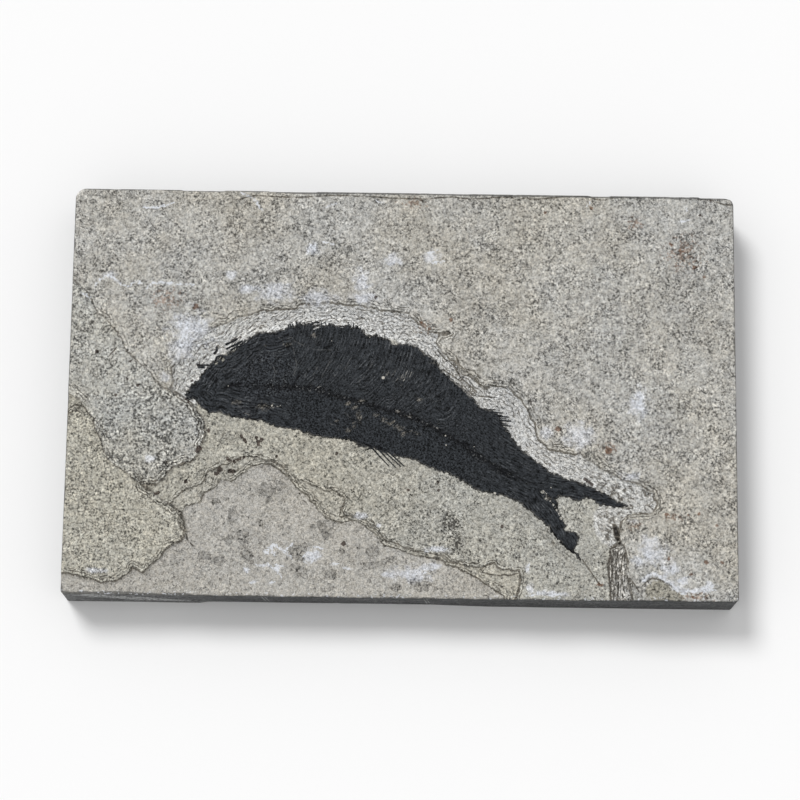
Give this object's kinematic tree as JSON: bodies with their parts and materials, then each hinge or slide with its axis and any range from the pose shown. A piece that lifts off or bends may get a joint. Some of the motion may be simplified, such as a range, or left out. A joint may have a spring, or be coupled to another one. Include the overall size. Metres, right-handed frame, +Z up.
{
  "type": "fossil fish slab",
  "caption": "Sawn rectangular slab of bedded limestone, split and prepared to show a dark fossil fish on its stepped upper face.",
  "frame": {"origin": "middle of the slab's underside", "axes": "+X along the slab towards the fish's tail, +Y towards the fish's back, +Z up out of the fossil face"},
  "size_m": [0.19, 0.118, 0.016],
  "materials": {
    "limestone": "matt split limestone, sawn sides",
    "carbonised_bone": "satin black film"
  },
  "bodies": {
    "root": {"stone_slab": "limestone", "fossil_fish": "carbonised_bone"}
  },
  "joints": []
}
